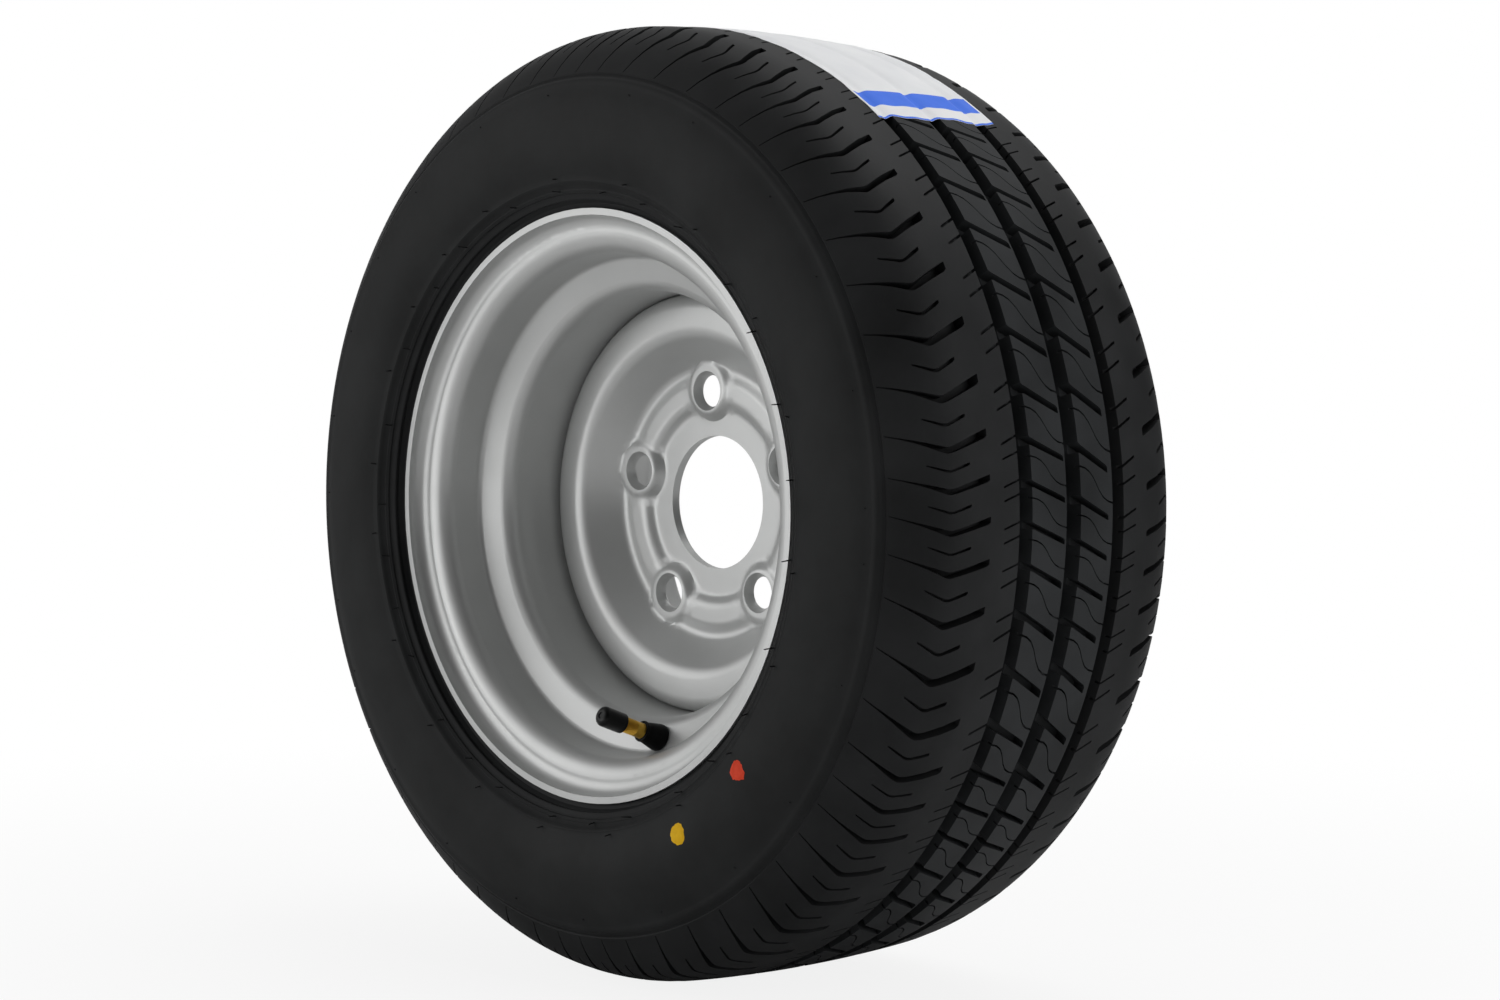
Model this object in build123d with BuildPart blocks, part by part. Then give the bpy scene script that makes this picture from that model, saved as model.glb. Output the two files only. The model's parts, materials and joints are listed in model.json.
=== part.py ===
from build123d import *
import os
from math import asin, cos, degrees, radians, sin, sqrt, tan

# Wheel and tyre: origin at the wheel's centre, +Y along the axle towards the hub, +Z up.
# Sections are drawn with local x along the axle and local y the radius.

# Tyre section
section_height = 107.65
section_width = 201.0
crown_radius = 830.0
shoulder_width = 44.5
shoulder_radius = 40.0
sidewall_radius = 65.0
lower_wall_overlap = 1.4
lower_wall_clearance = 1.5
crown_thickness = 14.8
wall_thickness = 11.0
bead_width = 17.0
bead_height = 7.0
bead_gap = 0.2

# Tread
groove_depth = 8.0
middle_groove_width = 9.8
outer_groove_width = 8.2
outer_groove_offset = 31.3
pitch_sequence = "SMLLMSSSMLLLLMMS"
sequence_repeats = 4
pitch_weights = {"S": 4.6, "M": 5.7, "L": 6.7}
first_pitch_angle = -35.0
far_shoulder_shift = -8.4
far_rib_shift = -6.6
shoulder_inner_inset = 47.5
shoulder_kink_inset = 27.3
shoulder_outer_inset = 19.0
shoulder_inner_rise = 0.31
shoulder_outer_rise = 0.2
shoulder_end_width = 3.8
shoulder_kink_width = 3.1
shoulder_tip_width = 1.2
shoulder_end_depth = 6.5
shoulder_kink_depth = 7.5
shoulder_tip_depth = 1.5
slot_width = 3.4
slot_depth = 6.5
slot_start = 0.15
slot_drop = 0.42
near_slot_land = 1.0
far_slot_land = 3.2
slot_overrun = 1.0

# Rim
rim_width = 152.4
seat_diameter = 253.2
seat_width = 23.0
seat_taper = 5.0
flange_straight = 0.9
flange_curl_radius = 9.5
flange_lip = 1.7
heel_radius = 6.5
rim_sheet = 3.2
well_depth = 18.4
well_wall_tilt = 21.0
seat_edge_radius = 6.2
well_bend_radius = 4.8

# Disc
disc_sheet = 4.0
bore_diameter = 67.0
hub_front = 1.0
ring_front = -3.5
ring_inner_margin = 5.5
ring_outer_margin = 5.0
ring_ramp = 3.0
valley_front = -0.5
valley_ramp = 6.5
crown_front = -19.5
crown_width = 20.85
disc_skirt_end = 12.0
disc_fit_gap = 0.15
ring_bend_radius = 6.0
ramp_foot_radius = 2.5
valley_bend_radius = 4.0
crown_inner_bend = 10.0
crown_outer_bend = 8.0

# Bolt circle
bolt_circle = 112.0
bolt_count = 5
bolt_phase = 2.46
bolt_hole_diameter = 16.0
seat_mouth_diameter = 20.0
boss_diameter = 27.0
boss_flare = 3.5
boss_offset = 1.5
boss_height = 1.0
boss_round = 2.0
boss_root = 0.3
bolt_seat_angle = 60.0

# Welds between disc and rim
weld_leg = 4.0
weld_count = 8
weld_arc = 28.0

# Valve: lengths along its axis, which is square to the sloping wall of the well
valve_angle = 278.4
valve_rise = 6.6
valve_hole_diameter = 11.3
valve_hole_gap = 0.1
valve_seat_gap = 0.15
rubber_base_diameter = 13.5
rubber_base_length = 2.5
rubber_top_diameter = 10.0
rubber_foot_bevel = 0.6
rubber_length = 12.6
barb_diameter = 12.2
barb_start = 5.6
barb_length = 5.0
barb_end_diameter = 9.0
stem_diameter = 7.7
bond_gap = 0.03
visible_stem = 12.4
cap_length = 14.1
cap_diameter = 10.0
cap_bore_gap = 0.08
cap_end_wall = 1.8
cap_end_radius = 2.5
cap_seal_thickness = 1.2
cap_seal_gap = 0.05

# Valve core
core_bore = 5.3
lower_bore = 3.8
core_gap = 0.05
plug_recess = 0.6
plug_length = 4.6
plug_slot_width = 1.6
plug_slot_depth = 2.8
barrel_diameter = 3.4
barrel_bore = 2.5
barrel_length = 8.0
barrel_floor = 0.8
gasket_length = 1.4
gasket_above_floor = 3.0
pin_diameter = 0.9
pin_head_diameter = 1.5
pin_head_length = 0.9
pin_head_rise = 0.1
collar_diameter = 2.2
collar_length = 0.6
collar_clearance = 0.5
cup_diameter = 3.2
cup_length = 1.6
cup_wall = 0.3
cup_seal_thickness = 0.6
spring_wire = 0.26
spring_turns = 5

# Paper label on the tread
label_near_edge = -37.0
label_far_edge = 44.0
label_first_angle = 50.0
label_last_angle = 118.0
label_lift = 0.15
label_thickness = 0.3

os.makedirs("parts", exist_ok=True)

seat_radius = seat_diameter / 2
tyre_radius = seat_radius + section_height
half_section = section_width / 2
half_rim = rim_width / 2
flange_radius = seat_radius + heel_radius + flange_straight + flange_curl_radius
well_radius = seat_radius - well_depth
valve_radius = well_radius + valve_rise


def wheel_plane(angle):
    """Plane of the axle that looks out along the given angle, from +X towards +Z."""
    return Plane(origin=(0, 0, 0), x_dir=(0, 1, 0), z_dir=(sin(radians(angle)), 0, -cos(radians(angle))))


def tread_plane(radius):
    """Tangent plane at +X: local x along the axle, local y round the tyre, z outward."""
    return Plane(origin=(radius, 0, 0), x_dir=(0, 1, 0), z_dir=(1, 0, 0))


def turned(shape, angle):
    """The shape carried round the axle by an angle from +X towards +Z."""
    return shape.rotate(Axis.Y, -angle)


def on_arc(centre, radius, angle):
    """Point of a section arc: the angle leans from outward towards the inboard side."""
    return (centre[0] + radius * sin(radians(angle)), centre[1] + radius * cos(radians(angle)))


def crown_height(offset, lift=0.0):
    """Radius of the tread surface at a distance from the middle, raised by the lift."""
    return tyre_radius - crown_radius + sqrt((crown_radius + lift) ** 2 - offset**2)


# The section's arcs run into each other: crown, shoulder, sidewall, lower wall
crown_half_width = half_section - shoulder_width
crown_angle = degrees(asin(crown_half_width / crown_radius))
crown_middle = crown_half_width / 2
crown_edge = (crown_half_width, crown_height(crown_half_width))
shoulder_centre = on_arc(crown_edge, -shoulder_radius, crown_angle)
sidewall_axis = half_section - sidewall_radius
arc_step = sidewall_radius - shoulder_radius
shoulder_angle = degrees(asin((shoulder_centre[0] - sidewall_axis) / arc_step))
sidewall_centre = on_arc(shoulder_centre, -arc_step, shoulder_angle)
widest_point = (half_section, sidewall_centre[1])

curl_centre = (half_rim + flange_curl_radius, flange_radius - flange_curl_radius)
lower_end = (curl_centre[0] + lower_wall_overlap, flange_radius + lower_wall_clearance)
lower_inset = half_section - lower_end[0]
lower_drop = widest_point[1] - lower_end[1]
lower_radius = (lower_inset**2 + lower_drop**2) / (2 * lower_inset)
lower_centre = (half_section - lower_radius, widest_point[1])
lower_end_angle = 90 + degrees(asin(lower_drop / lower_radius))
bead_curl_radius = flange_curl_radius + bead_gap
bead_corner_radius = bead_curl_radius / cos(radians(22.5))
heel_side = half_rim - bead_gap
heel_base = seat_radius + bead_gap
heel_cut = 0.85 * heel_radius
seat_fall = tan(radians(seat_taper))
toe_side = heel_side - bead_width
toe_base = heel_base - bead_width * seat_fall

inner_shoulder = on_arc(shoulder_centre, shoulder_radius - wall_thickness, shoulder_angle)
inner_crown = tyre_radius - crown_thickness
inner_crown_edge = (shoulder_centre[0], inner_crown)
inner_widest = (half_section - wall_thickness, sidewall_centre[1])
inner_lower = on_arc(lower_centre, lower_radius - wall_thickness, lower_end_angle)

with BuildSketch(wheel_plane(90)) as tyre_section:
    with BuildLine():
        Line((0, inner_crown), (0, tyre_radius))
        ThreePointArc((0, tyre_radius), (crown_middle, crown_height(crown_middle)), crown_edge)
        ThreePointArc(
            crown_edge,
            on_arc(shoulder_centre, shoulder_radius, (crown_angle + shoulder_angle) / 2),
            on_arc(shoulder_centre, shoulder_radius, shoulder_angle),
        )
        ThreePointArc(
            on_arc(shoulder_centre, shoulder_radius, shoulder_angle),
            on_arc(sidewall_centre, sidewall_radius, (shoulder_angle + 90) / 2),
            widest_point,
        )
        ThreePointArc(
            widest_point,
            on_arc(lower_centre, lower_radius, (90 + lower_end_angle) / 2),
            lower_end,
        )
        Polyline(
            lower_end,
            on_arc(curl_centre, bead_curl_radius, 0),
            on_arc(curl_centre, bead_corner_radius, -22.5),
            on_arc(curl_centre, bead_corner_radius, -67.5),
            on_arc(curl_centre, bead_curl_radius, -90),
            (heel_side, heel_base + heel_cut),
            (heel_side - heel_cut, heel_base - heel_cut * seat_fall),
            (toe_side, toe_base),
            (toe_side, toe_base + bead_height),
            inner_lower,
            inner_widest,
            inner_shoulder,
            inner_crown_edge,
            (0, inner_crown),
        )
    make_face()
    mirror(about=Plane.YZ)
    with Locations((0, tyre_radius)):
        Rectangle(middle_groove_width, 2 * groove_depth, mode=Mode.SUBTRACT)
    with Locations((-outer_groove_offset, tyre_radius), (outer_groove_offset, tyre_radius)):
        Rectangle(outer_groove_width, 2 * groove_depth, mode=Mode.SUBTRACT)

shoulder_inner_end = half_section - shoulder_inner_inset
shoulder_kink = half_section - shoulder_kink_inset
shoulder_outer_end = half_section - shoulder_outer_inset


def shoulder_height(offset):
    """Radius of the tyre's shoulder or sidewall at a distance from the middle."""
    if offset < shoulder_centre[0] + shoulder_radius * sin(radians(shoulder_angle)):
        return shoulder_centre[1] + sqrt(shoulder_radius**2 - (offset - shoulder_centre[0]) ** 2)
    return sidewall_centre[1] + sqrt(sidewall_radius**2 - (offset - sidewall_centre[0]) ** 2)


def shoulder_groove(pitch):
    """Cutter of one angled shoulder groove: a check mark in plan, its floor following the shoulder."""
    inner_rise = shoulder_inner_rise * pitch
    outer_rise = shoulder_outer_rise * pitch
    with BuildPart() as cutter:
        with BuildSketch(tread_plane(0)):
            Polygon(
                (-shoulder_inner_end, inner_rise + shoulder_end_width / 2),
                (-shoulder_kink, shoulder_kink_width / 2),
                (-shoulder_outer_end, outer_rise + shoulder_tip_width / 2),
                (-shoulder_outer_end, outer_rise - shoulder_tip_width / 2),
                (-shoulder_kink, -shoulder_kink_width / 2),
                (-shoulder_inner_end, inner_rise - shoulder_end_width / 2),
                align=None,
            )
        extrude(amount=tyre_radius + groove_depth)
        with BuildSketch(wheel_plane(0)):
            Polygon(
                (-shoulder_inner_end, crown_height(shoulder_inner_end) - shoulder_end_depth),
                (-shoulder_kink, shoulder_height(shoulder_kink) - shoulder_kink_depth),
                (-shoulder_outer_end, shoulder_height(shoulder_outer_end) - shoulder_tip_depth),
                (-shoulder_outer_end, tyre_radius + groove_depth),
                (-shoulder_inner_end, tyre_radius + groove_depth),
                align=None,
            )
        extrude(amount=pitch, both=True, mode=Mode.INTERSECT)
    return cutter.part


def rib_slot(pitch, open_end, blind_end):
    """Cutter of one slanted slot across a middle rib, open to the groove on its near side."""
    start = slot_start * pitch
    finish = start - slot_drop * pitch
    with BuildPart() as cutter:
        with BuildSketch(tread_plane(tyre_radius - slot_depth)):
            Polygon(
                (open_end - slot_overrun, start + slot_width / 2),
                (open_end - slot_overrun, start - slot_width / 2),
                (blind_end, finish - slot_width / 2),
                (blind_end, finish + slot_width / 2),
                align=None,
            )
        extrude(amount=2 * slot_depth)
    return cutter.part


pitch_unit = 360 / sequence_repeats / sum(pitch_weights[letter] for letter in pitch_sequence)
rib_inner_edge = middle_groove_width / 2
rib_outer_edge = outer_groove_offset - outer_groove_width / 2
cutter_kinds = {}
for letter, weight in pitch_weights.items():
    pitch_length = radians(weight * pitch_unit) * tyre_radius
    near_shoulder = shoulder_groove(pitch_length)
    cutter_kinds[letter] = [
        (near_shoulder, 0.0),
        (near_shoulder.rotate(Axis.X, 180), far_shoulder_shift),
        (rib_slot(pitch_length, -rib_outer_edge, -rib_inner_edge - near_slot_land), 0.0),
        (rib_slot(pitch_length, rib_inner_edge, rib_outer_edge - far_slot_land), far_rib_shift),
    ]

tread_cutters = []
pitch_angle = first_pitch_angle
for letter in pitch_sequence * sequence_repeats:
    for cutter_shape, shift in cutter_kinds[letter]:
        tread_cutters.append(turned(cutter_shape, pitch_angle + shift))
    pitch_angle += pitch_weights[letter] * pitch_unit

with BuildPart() as tyre:
    add(tyre_section.sketch)
    revolve(axis=Axis.Y)
    add(tread_cutters, mode=Mode.SUBTRACT)
tyre.part.label = "tyre"
export_step(tyre.part, "parts/tyre.step")

# Rim: rolled sheet, the same on both sides of the middle
flange_tip = half_rim + flange_curl_radius + flange_lip
seat_edge = (half_rim - seat_width, seat_radius - seat_width * seat_fall)
well_slope = tan(radians(well_wall_tilt))
well_edge = (seat_edge[0] - (seat_edge[1] - well_radius) * well_slope, well_radius)

rim_half_path = [
    (flange_tip, flange_radius),
    (half_rim, flange_radius),
    (half_rim, seat_radius),
    seat_edge,
    well_edge,
]
rim_half_bends = [flange_curl_radius, heel_radius, seat_edge_radius, well_bend_radius]
rim_path = [(-x, r) for x, r in rim_half_path] + rim_half_path[::-1]
rim_bends = rim_half_bends + rim_half_bends[::-1]

# Valve frame: origin on the rim's outer face, z out along the valve
wall_tilt = radians(well_wall_tilt)
wall_face = seat_edge[0] - (seat_edge[1] - valve_radius) * well_slope + rim_sheet / cos(wall_tilt)
valve_cos = cos(radians(valve_angle))
valve_sin = sin(radians(valve_angle))
valve_plane = Plane(
    origin=(valve_radius * valve_cos, -wall_face, valve_radius * valve_sin),
    x_dir=(-valve_sin, 0, valve_cos),
    z_dir=(-sin(wall_tilt) * valve_cos, -cos(wall_tilt), -sin(wall_tilt) * valve_sin),
)
valve_section = Plane(origin=valve_plane.origin, x_dir=valve_plane.x_dir, z_dir=-valve_plane.y_dir)
valve_axis = Axis(valve_plane.origin, valve_plane.z_dir)

with BuildPart() as rim:
    with BuildSketch(wheel_plane(90)):
        with BuildLine():
            FilletPolyline(*rim_path, radius=rim_bends)
            offset(amount=rim_sheet, side=Side.RIGHT)
        make_face()
    revolve(axis=Axis.Y)
    with BuildSketch(valve_plane):
        Circle(valve_hole_diameter / 2)
    extrude(amount=rim_sheet * 2, both=True, mode=Mode.SUBTRACT)
rim.part.label = "rim"
export_step(rim.part, "parts/rim.step")

# Disc: pressed sheet with a raised bolt circle and a deep crown, skirt inside the rim's well
bolt_radius = bolt_circle / 2
ring_inner_radius = bolt_radius - ring_inner_margin
ring_outer_radius = bolt_radius + ring_outer_margin
skirt_radius = well_radius - rim_sheet - disc_fit_gap
disc_path = [
    (hub_front, bore_diameter / 2),
    (hub_front, ring_inner_radius - ring_ramp),
    (ring_front, ring_inner_radius),
    (ring_front, ring_outer_radius),
    (valley_front, ring_outer_radius + valley_ramp),
    (crown_front, skirt_radius - crown_width),
    (crown_front, skirt_radius),
    (disc_skirt_end, skirt_radius),
]
disc_bends = [
    ramp_foot_radius,
    ring_bend_radius,
    ring_bend_radius,
    valley_bend_radius,
    crown_inner_bend,
    crown_outer_bend,
]
boss_front = ring_front - boss_height
boss_depth = hub_front + boss_root - boss_front
bolt_plane = Plane(origin=(0, boss_front, 0), x_dir=(1, 0, 0), z_dir=(0, -1, 0))

with BuildPart() as bosses:
    with Locations(bolt_plane):
        with PolarLocations(bolt_radius + boss_offset, bolt_count, 90 + bolt_phase):
            Cone(
                boss_diameter / 2 + boss_flare,
                boss_diameter / 2,
                boss_depth,
                align=(Align.CENTER, Align.CENTER, Align.MAX),
            )
    fillet(bosses.edges().group_by(Axis.Y)[0], boss_round)

with BuildPart() as disc:
    with BuildSketch(wheel_plane(90)):
        with BuildLine():
            FilletPolyline(*disc_path, radius=disc_bends)
            offset(amount=disc_sheet, side=Side.RIGHT)
        make_face()
    revolve(axis=Axis.Y)
    add(bosses.part)
    with Locations(bolt_plane):
        with PolarLocations(bolt_radius, bolt_count, 90 + bolt_phase):
            CounterSinkHole(
                bolt_hole_diameter / 2, seat_mouth_diameter / 2, counter_sink_angle=bolt_seat_angle
            )
disc.part.label = "disc"
export_step(disc.part, "parts/disc.step")

# Welds: short fillets round the skirt's inboard edge
with BuildPart() as disc_welds:
    for weld in range(weld_count):
        with BuildSketch(wheel_plane(weld * 360 / weld_count)):
            Polygon(
                (disc_skirt_end, skirt_radius - weld_leg),
                (disc_skirt_end, skirt_radius),
                (disc_skirt_end + weld_leg, skirt_radius),
                align=None,
            )
        revolve(axis=Axis.Y, revolution_arc=weld_arc)
disc_welds.part.label = "disc_welds"
export_step(disc_welds.part, "parts/disc_welds.step")

# Levels along the valve
cap_mouth = rubber_length + visible_stem
cap_tip = cap_mouth + cap_length
cap_roof = cap_tip - cap_end_wall
seal_top = cap_roof - cap_seal_gap
stem_top = seal_top - cap_seal_thickness - cap_seal_gap
stem_foot = -barb_start - barb_length
plug_top = stem_top - plug_recess
plug_foot = plug_top - plug_length
barrel_foot = plug_foot - barrel_length
core_seat = barrel_foot + gasket_above_floor
collar_foot = plug_foot - collar_clearance - collar_length
cup_seal_top = barrel_foot - core_gap
cup_floor = cup_seal_top - cup_seal_thickness - core_gap
cup_foot = cup_floor - cup_length + cup_seal_thickness
pin_top = plug_top + pin_head_rise
pin_radius = pin_diameter / 2
pin_hole = pin_radius + core_gap
cup_recess = cup_diameter / 2 - cup_wall


def valve_outline(*points):
    """Face to be turned about the valve's axis, from points of radius and height."""
    with BuildSketch(valve_section) as outline:
        with BuildLine():
            Polyline(*points, close=True)
        make_face()
    return outline.sketch


def ring_outline(inner_radius, outer_radius, foot, top):
    """Face of a plain ring between two radii and two heights."""
    return valve_outline(
        (inner_radius, foot), (outer_radius, foot), (outer_radius, top), (inner_radius, top)
    )


rubber_bore = stem_diameter / 2 + bond_gap
valve_neck = valve_hole_diameter / 2 - valve_hole_gap
with BuildPart() as valve_rubber:
    add(
        valve_outline(
            (rubber_bore, stem_foot),
            (barb_end_diameter / 2, stem_foot),
            (barb_diameter / 2, -barb_start),
            (valve_neck, -barb_start),
            (valve_neck, valve_seat_gap),
            (rubber_base_diameter / 2 - rubber_foot_bevel, valve_seat_gap),
            (rubber_base_diameter / 2, valve_seat_gap + rubber_foot_bevel),
            (rubber_base_diameter / 2, rubber_base_length),
            (rubber_top_diameter / 2, rubber_length),
            (rubber_bore, rubber_length),
        )
    )
    revolve(axis=valve_axis)
valve_rubber.part.label = "valve_rubber"
export_step(valve_rubber.part, "parts/valve_rubber.step")

with BuildPart() as valve_stem:
    add(
        valve_outline(
            (lower_bore / 2, stem_foot),
            (stem_diameter / 2, stem_foot),
            (stem_diameter / 2, stem_top),
            (core_bore / 2, stem_top),
            (core_bore / 2, core_seat),
            (lower_bore / 2, core_seat),
        )
    )
    revolve(axis=valve_axis)
valve_stem.part.label = "valve_stem"
export_step(valve_stem.part, "parts/valve_stem.step")

# Valve core: plug over barrel, gasket on the stem's inner step
plug_radius = core_bore / 2 - core_gap
with BuildPart() as core_plug:
    add(ring_outline(pin_hole, plug_radius, plug_foot, plug_top))
    revolve(axis=valve_axis)
    with BuildSketch(valve_plane.offset(plug_top)):
        Rectangle(plug_slot_width, core_bore)
    extrude(amount=-plug_slot_depth, mode=Mode.SUBTRACT)
core_plug.part.label = "core_plug"
export_step(core_plug.part, "parts/core_plug.step")

with BuildPart() as core_barrel:
    add(
        valve_outline(
            (pin_hole, barrel_foot),
            (barrel_diameter / 2, barrel_foot),
            (barrel_diameter / 2, plug_foot),
            (barrel_bore / 2, plug_foot),
            (barrel_bore / 2, barrel_foot + barrel_floor),
            (pin_hole, barrel_foot + barrel_floor),
        )
    )
    revolve(axis=valve_axis)
core_barrel.part.label = "core_barrel"
export_step(core_barrel.part, "parts/core_barrel.step")

with BuildPart() as barrel_gasket:
    add(ring_outline(barrel_diameter / 2 + core_gap, plug_radius, core_seat, core_seat + gasket_length))
    revolve(axis=valve_axis)
barrel_gasket.part.label = "barrel_gasket"
export_step(barrel_gasket.part, "parts/barrel_gasket.step")

# Moving pin with its collar, cup and seal
with BuildPart() as core_pin:
    add(
        valve_outline(
            (0, cup_foot),
            (pin_radius, cup_foot),
            (pin_radius, collar_foot),
            (collar_diameter / 2, collar_foot),
            (collar_diameter / 2, collar_foot + collar_length),
            (pin_radius, collar_foot + collar_length),
            (pin_radius, pin_top - pin_head_length),
            (pin_head_diameter / 2, pin_top - pin_head_length),
            (pin_head_diameter / 2, pin_top),
            (0, pin_top),
        )
    )
    revolve(axis=valve_axis)
core_pin.part.label = "core_pin"
export_step(core_pin.part, "parts/core_pin.step")

with BuildPart() as core_cup:
    add(
        valve_outline(
            (pin_radius + bond_gap, cup_foot),
            (cup_diameter / 2, cup_foot),
            (cup_diameter / 2, cup_floor + cup_seal_thickness / 2),
            (cup_recess, cup_floor + cup_seal_thickness / 2),
            (cup_recess, cup_floor),
            (pin_radius + bond_gap, cup_floor),
        )
    )
    revolve(axis=valve_axis)
core_cup.part.label = "core_cup"
export_step(core_cup.part, "parts/core_cup.step")

with BuildPart() as cup_seal:
    add(ring_outline(pin_radius + bond_gap, cup_recess - bond_gap, cup_floor, cup_seal_top))
    revolve(axis=valve_axis)
cup_seal.part.label = "cup_seal"
export_step(cup_seal.part, "parts/cup_seal.step")

# Coil spring between the barrel's floor and the pin's collar
spring_foot = barrel_foot + barrel_floor + core_gap + spring_wire / 2
spring_height = collar_foot - core_gap - spring_wire / 2 - spring_foot
spring_radius = (barrel_bore / 2 + pin_radius) / 2
spring_start = valve_plane.offset(spring_foot).origin
with BuildPart() as core_spring:
    with BuildLine():
        coil = Helix(
            spring_height / spring_turns,
            spring_height,
            spring_radius,
            center=spring_start,
            direction=valve_plane.z_dir,
        )
    with BuildSketch(Plane(origin=coil @ 0, x_dir=valve_plane.z_dir, z_dir=coil % 0)):
        Rectangle(spring_wire, spring_wire)
    sweep(path=coil, is_frenet=True)
core_spring.part.label = "core_spring"
export_step(core_spring.part, "parts/core_spring.step")

# Cap and its washer
cap_bore = stem_diameter / 2 + cap_bore_gap
with BuildPart() as valve_cap:
    add(
        valve_outline(
            (0, cap_roof),
            (cap_bore, cap_roof),
            (cap_bore, cap_mouth),
            (cap_diameter / 2, cap_mouth),
            (cap_diameter / 2, cap_tip),
            (0, cap_tip),
        )
    )
    revolve(axis=valve_axis)
    fillet(valve_cap.edges().sort_by(valve_axis)[-1], cap_end_radius)
valve_cap.part.label = "valve_cap"
export_step(valve_cap.part, "parts/valve_cap.step")

with BuildPart() as cap_seal:
    with BuildSketch(valve_plane.offset(seal_top)):
        Circle(cap_bore - cap_bore_gap)
    extrude(amount=-cap_seal_thickness)
cap_seal.part.label = "cap_seal"
export_step(cap_seal.part, "parts/cap_seal.step")

# Paper label bent round the tread
label_middle = (label_near_edge + label_far_edge) / 2


def label_arc(lift):
    """Line across the label at a height above the tread."""
    edges = (label_near_edge, label_middle, label_far_edge)
    return [(edge, crown_height(edge, lift)) for edge in edges]


label_under = label_arc(label_lift)
label_over = label_arc(label_lift + label_thickness)
with BuildPart() as tread_label:
    with BuildSketch(wheel_plane(label_last_angle)):
        with BuildLine():
            ThreePointArc(*label_under)
            Line(label_under[-1], label_over[-1])
            ThreePointArc(*label_over[::-1])
            Line(label_over[0], label_under[0])
        make_face()
    revolve(axis=Axis.Y, revolution_arc=label_last_angle - label_first_angle)
tread_label.part.label = "tread_label"
export_step(tread_label.part, "parts/tread_label.step")
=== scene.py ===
import bmesh
import bpy
import json
import math
import random
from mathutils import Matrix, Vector
from mathutils.geometry import delaunay_2d_cdt


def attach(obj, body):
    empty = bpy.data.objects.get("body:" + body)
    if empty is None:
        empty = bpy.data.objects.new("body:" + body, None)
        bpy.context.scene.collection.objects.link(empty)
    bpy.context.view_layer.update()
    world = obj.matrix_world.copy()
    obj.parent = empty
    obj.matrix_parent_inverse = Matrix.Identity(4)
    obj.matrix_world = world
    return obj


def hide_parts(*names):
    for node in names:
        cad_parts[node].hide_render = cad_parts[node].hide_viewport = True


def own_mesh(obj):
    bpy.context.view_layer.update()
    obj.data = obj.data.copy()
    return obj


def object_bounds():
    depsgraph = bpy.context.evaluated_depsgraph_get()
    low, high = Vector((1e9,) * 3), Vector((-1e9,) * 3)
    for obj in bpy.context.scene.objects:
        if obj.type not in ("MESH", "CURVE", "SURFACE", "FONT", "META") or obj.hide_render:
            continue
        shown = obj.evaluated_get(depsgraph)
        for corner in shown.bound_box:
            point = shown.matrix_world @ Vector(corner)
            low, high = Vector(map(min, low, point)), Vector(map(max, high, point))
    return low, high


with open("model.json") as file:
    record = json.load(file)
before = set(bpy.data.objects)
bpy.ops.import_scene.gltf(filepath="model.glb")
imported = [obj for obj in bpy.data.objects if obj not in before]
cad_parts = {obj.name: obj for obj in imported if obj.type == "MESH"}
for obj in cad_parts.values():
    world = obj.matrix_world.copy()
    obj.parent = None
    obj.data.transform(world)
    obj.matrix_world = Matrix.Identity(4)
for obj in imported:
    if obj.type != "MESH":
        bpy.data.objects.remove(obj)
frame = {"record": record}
cad_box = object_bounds()
MM = 0.001
FULL_TURN = 2 * math.pi

# Triangulation: the kind that fills the loops, and gaps under which points count as one
TRIANGLES_INSIDE = 1
MERGE_GAP = 1e-5
SAME_PLACE = 1e-3

# Tyre section, in millimetres; the lower arc ends at the radius LOWER_ARC_END
TYRE_RADIUS = 234.25
HALF_SECTION = 100.5
CROWN_RADIUS = 830.0
CROWN_HALF_WIDTH = 56.0
SHOULDER_RADIUS = 40.0
SIDEWALL_RADIUS = 65.0
LOWER_RADIUS = 40.0
LOWER_ARC_END = 145.0
TYRE_SEGMENTS = 192

# Relief of the sidewall as (arc length, lift): shoulder ridge, sunken widest part and two thin ribs
SIDEWALL_SINK = 0.25
SHOULDER_RIDGE = [
    (101.9, -0.55),
    (103.2, -0.45),
    (104.0, -0.05),
    (104.8, 0.45),
    (105.8, 0.62),
    (106.8, 0.55),
    (107.8, 0.2),
    (108.8, -0.05),
    (112.0, 0.0),
    (116.0, 0.0),
]
SUNKEN_START = 120.0
SUNKEN_STEP = 4.0
SUNKEN_ROWS = 8
SIDEWALL_RIBS = [
    (154.6, 0.0),
    (155.0, 0.35),
    (156.2, 0.4),
    (156.8, 0.05),
    (159.5, 0.0),
    (160.0, 0.5),
    (161.4, 0.5),
    (162.0, 0.0),
]

# Ridge beside the rim as (distance from the section's end, lift); bead and liner as (across, radius)
BEAD_RIDGE = [(6.0, 0.0), (5.2, 0.55), (4.2, 0.6), (3.6, 0.1), (3.0, -0.9), (0.3, -1.2)]
BEAD = [
    (86.0, 144.2),
    (85.7, 143.72),
    (81.7, 142.8),
    (78.6, 141.0),
    (76.6, 137.9),
    (75.98, 134.0),
    (75.98, 132.3),
    (70.5, 126.3),
    (59.0, 125.3),
    (59.0, 132.3),
]
LINER = [(79.8, 153.3), (86.0, 160.0), (89.5, 174.9), (85.0, 195.0), (74.0, 212.9), (53.3, 219.4)]

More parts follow.
